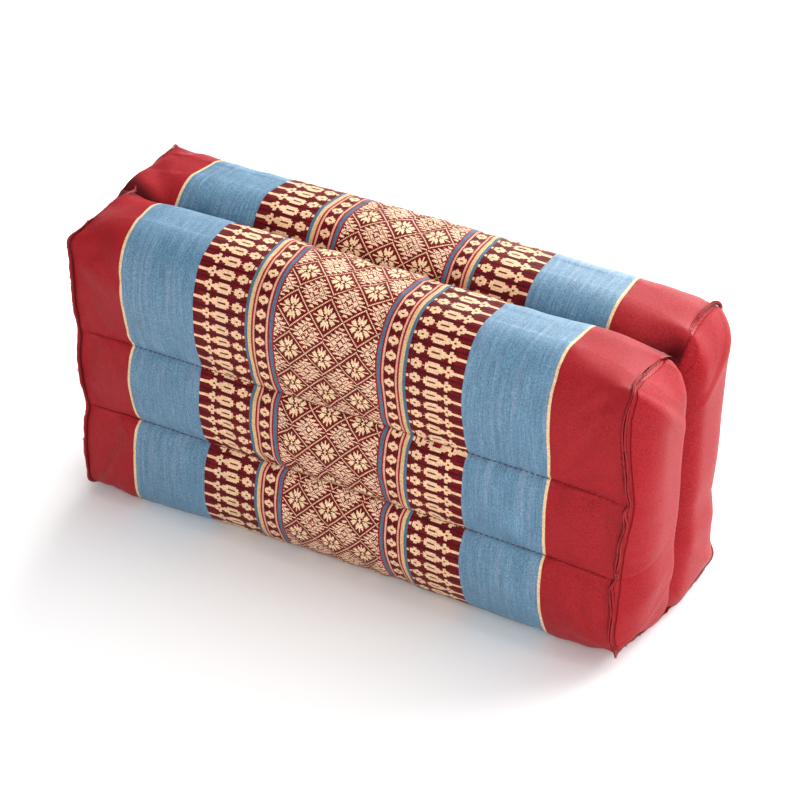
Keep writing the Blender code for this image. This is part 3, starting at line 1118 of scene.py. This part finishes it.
def field_colour(g, across, along, slubs):
    """The star flowers and the lines between their cells, some of the light threads broken."""
    ground = g.mix(g.stretch(slubs, 0.35, 0.75), FIELD_GROUND, GROUND_BRIGHT)
    column = g.mirrored_step(g.minus(across, STAR_MIDDLE), STAR_STEP, FIELD_COLUMNS - 1)
    row = g.mirrored_step(g.minus(along, STAR_START), PICK_STEP, FIELD_ROWS - 1)
    stars = g.charted(column, row, field_chart())
    filled = g.above(g.math("ADD", column, row), TRIANGLE_ROWS[0][0] - 0.5)
    whole = g.above(g.speckle(across, along, BROKEN_CELL), BROKEN_SHARE)
    stars = g.times(stars, g.math("MAXIMUM", whole, g.minus(1.0, filled)))
    return g.mix(stars, ground, g.mix(filled, FIELD_CREAM, FILLED_CREAM))


def wrap_material():
    g = Graph("woven_wrap")
    across, along, shade, height = weave_parts(g, 28.0)
    from_middle = g.math("ABSOLUTE", across)
    edges = stripe_edges()

    streaks = g.thread_noise(across, along, *STREAKS)
    bands = g.thread_noise(across, along, *BANDS)
    slubs = g.thread_noise(across, along, *SLUBS)
    speckle = g.times(g.speckle(across, along, BLUE_CELL), 0.38)
    heather = g.math("MULTIPLY_ADD", g.stretch(streaks, 0.25, 0.75), 0.62, speckle)
    blue = g.mix(heather, BLUE_DARK, BLUE_LIGHT)
    blue = g.mix(g.stretch(bands, 0.52, 0.80, 0.0, 0.30), blue, BLUE_PINK)
    blue = g.tint(blue, g.stretch(bands, 0.20, 0.60, 0.84, 1.06))
    stripe_blue = g.tint(STRIPE_BLUE, g.stretch(heather, 0.0, 1.0, 0.7, 1.4))

    from_bead = g.minus(along, BEAD_START)
    bead_row = g.mirrored_step(from_bead, PICK_STEP, 6, 0.38)
    fine_row = g.mirrored_step(from_bead, PICK_STEP / 2, 12)
    ground = g.mix(g.stretch(slubs, 0.40, 0.72), GROUND_DARK, GROUND_BRIGHT)
    ground = g.mix(g.stretch(bead_row, 4.0, 6.0, 0.0, 0.75), ground, GROUND_GAP)
    bead_column = g.threads(g.minus(edges["bead band"][1], from_middle), END_STEP_X)
    beads = g.charted(bead_column, fine_row, bead_chart())
    off_centre = g.math("ABSOLUTE", g.minus(from_middle, sum(edges["diamond border"]) / 2))
    diamond_column = g.math("ADD", g.math("DIVIDE", off_centre, DIAMOND_STEP), 0.5)
    diamond_column = g.math("FLOOR", diamond_column)
    diamonds = g.charted(diamond_column, bead_row, DIAMOND_CHART)
    diamonds = g.times(diamonds, g.math("LESS_THAN", diamond_column, 4.5))

    woven = {
        "diamond border": g.mix(diamonds, ground, CREAM),
        "bead band": g.mix(beads, ground, CREAM),
        "wide blue": blue,
        "narrow blue": stripe_blue,
        "inner blue": stripe_blue,
    }
    colour = field_colour(g, across, along, slubs)
    start = STRIPES[0][1]
    for name, width, plain in STRIPES[1:]:
        colour = g.mix(g.above(from_middle, start), colour, woven.get(name, plain))
        start += width
    crease = g.math("ABSOLUTE", g.minus(along, TOP_CREASE))
    pocket = g.stretch(from_middle, POCKET_FROM, POCKET_FULL, 0.0, POCKET_WIDER)
    crease = g.stretch(g.minus(crease, pocket), CREASE_DARK, CREASE_CLEAR, CREASE_SHADE, 1.0)
    colour = g.tint(g.tint(colour, shade), crease)

    inner, outer = edges["wide blue"]
    is_blue = g.times(g.above(from_middle, inner), g.math("LESS_THAN", from_middle, outer))
    is_red = g.above(from_middle, edges["red end"][0])
    gloss = g.math("MULTIPLY_ADD", is_blue, BLUE_GLOSS, CLOTH_GLOSS)
    gloss = g.math("MULTIPLY_ADD", is_red, RED_GLOSS, gloss)
    return g.finish(colour, height, 0.30, gloss, roughness=0.42)


def end_cloth_material():
    g = Graph("end_cloth")
    _, _, shade, height = weave_parts(g, 30.0)
    return g.finish(g.tint(RED, shade), height, 0.30, CLOTH_GLOSS, roughness=0.44)


def seam_material():
    """The folded lips: painted shade darkens the gap between them, and they are lighter on their
    edges.
    """
    g = Graph("end_seam_cloth")
    along, across, lift = g.cloth_places()
    grain = g.noise(g.join(g.times(along, 900.0), g.times(across, 4.0), lift))
    colour = g.mix(g.stretch(lift, 0.15, 0.85), LIP_GAP_SHADE, LIP_EDGE)
    return g.finish(g.tint(colour, g.stretch(grain, 0.25, 0.75, 0.85, 1.15)), grain, 0.5)


def thread_material():
    g = Graph("sewing_thread")
    grain = g.noise(g.node("TexCoord").outputs["Object"], 2500.0, 1.0)
    return g.finish(g.mix(g.stretch(grain, 0.3, 0.7), THREAD_DARK, THREAD_LIGHT), grain, 0.4)


# The camera: its azimuth, elevation and roll in degrees, its distance from the point it looks at,
# how far it stands to the right and up of that, and its focal length in pixels of the photograph.
PHOTO_PIXELS = 800
SENSOR_MM = 36.0
CAMERA_ANGLES = (29.289, 32.998, 0.474)
CAMERA_DISTANCE = 1.3119
CAMERA_TARGET = (-0.002, 0.0, 0.0919)
CAMERA_RIGHT = 0.00979
CAMERA_UP = -0.00434
CAMERA_FOCAL_PIXELS = 2301.0


def make_camera():
    azimuth, elevation, roll = (math.radians(angle) for angle in CAMERA_ANGLES)
    level_back = Vector((math.sin(azimuth), -math.cos(azimuth), 0.0))
    back = level_back * math.cos(elevation) + Vector((0.0, 0.0, math.sin(elevation)))
    level = Vector((0.0, 0.0, 1.0)).cross(back).normalized()
    upright = back.cross(level)
    right = level * math.cos(roll) + upright * math.sin(roll)
    up = upright * math.cos(roll) - level * math.sin(roll)
    place = Vector(CAMERA_TARGET) + back * CAMERA_DISTANCE
    place += right * CAMERA_RIGHT + up * CAMERA_UP
    data = bpy.data.cameras.new("camera")
    data.sensor_width = SENSOR_MM
    data.lens = CAMERA_FOCAL_PIXELS / PHOTO_PIXELS * SENSOR_MM
    camera = linked("camera", data)
    turned = Matrix((right, up, back)).transposed().to_4x4()
    camera.matrix_world = Matrix.Translation(place) @ turned
    bpy.context.scene.camera = camera


FLOOR_REACH = 6.0
FLOOR_HEIGHT = -0.0004
FLOOR_WHITE = (0.96, 0.96, 0.96)


def make_floor():
    corners = ((-1, -1), (1, -1), (1, 1), (-1, 1))
    corners = [(x * FLOOR_REACH, y * FLOOR_REACH, 0.0) for x, y in corners]
    floor = mesh_object("floor", corners, [(0, 1, 2, 3)], smooth=False)
    floor.location.z = FLOOR_HEIGHT
    g = Graph("pale_floor")
    g.shade_with(FLOOR_WHITE, 0.9, 0.1)
    floor.data.materials.append(g.material)


# The lights: name, place, size in metres and power in watts, all aimed at the cushion.
LAMPS = (
    ("overhead", (0.15, 0.55, 1.75), 1.6, 26.5),
    ("right", (1.7, -0.3, 1.0), 1.2, 9.0),
    ("front_right", (0.9, -1.7, 0.9), 1.6, 28.0),
    ("rear", (0.2, 1.8, 1.0), 2.0, 80.0),
    ("rear_right", (1.2, 1.5, 0.7), 1.0, 25.0),
)
LAMP_AIM = (0.0, 0.0, 0.09)
WORLD_STRENGTH = 0.24


def make_lights():
    for name, place, size, power in LAMPS:
        data = bpy.data.lights.new(name, "AREA")
        data.shape = "SQUARE"
        data.size = size
        data.energy = power
        lamp = linked(name, data)
        lamp.location = place
        aim = Vector(LAMP_AIM) - Vector(place)
        lamp.rotation_euler = aim.to_track_quat("-Z", "Y").to_euler()
    world = bpy.data.worlds.new("world")
    bpy.context.scene.world = world
    world.use_nodes = True
    background = world.node_tree.nodes["Background"]
    background.inputs["Color"].default_value = (1.0, 1.0, 1.0, 1.0)
    background.inputs["Strength"].default_value = WORLD_STRENGTH
    bpy.context.scene.view_settings.view_transform = "Standard"


def fitted(piece, stands_for=""):
    """Puts a piece on the body, and in the place of a solid."""
    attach(piece, BODY)
    if stands_for:
        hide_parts(stands_for)


# The first random seeds of the lips and of the stitches at each end.
LIP_SEEDS = {"left": 40, "right": 50}
STITCH_SEEDS = {"left": 7, "right": 8}


def main():
    make_camera()
    make_floor()
    make_lights()
    body = Body()
    settled = settle_cloth(body)
    cloth = end_cloth_material()
    lips = seam_material()
    thread = thread_material()

    wrap = make_wrap(body, settled, wrap_material())
    fitted(wrap, "cushion")
    fitted(make_stitches("channel_stitches", channel_stitches(), thread))

    for side, end in ((-1.0, "left"), (1.0, "right")):
        seam = make_end_seam(body, side, f"pinched_seam_{end}", lips, LIP_SEEDS[end])
        fitted(seam, f"end_seam_{end}")
        threads = seam_stitches(body, side, STITCH_SEEDS[end])
        stitches = make_stitches(f"seam_stitches_{end}", threads, thread)
        fitted(stitches)
        panel = make_end_panel(body, settled, side, f"end_cloth_{end}", cloth)
        fitted(panel, f"end_panel_{end}")


main()
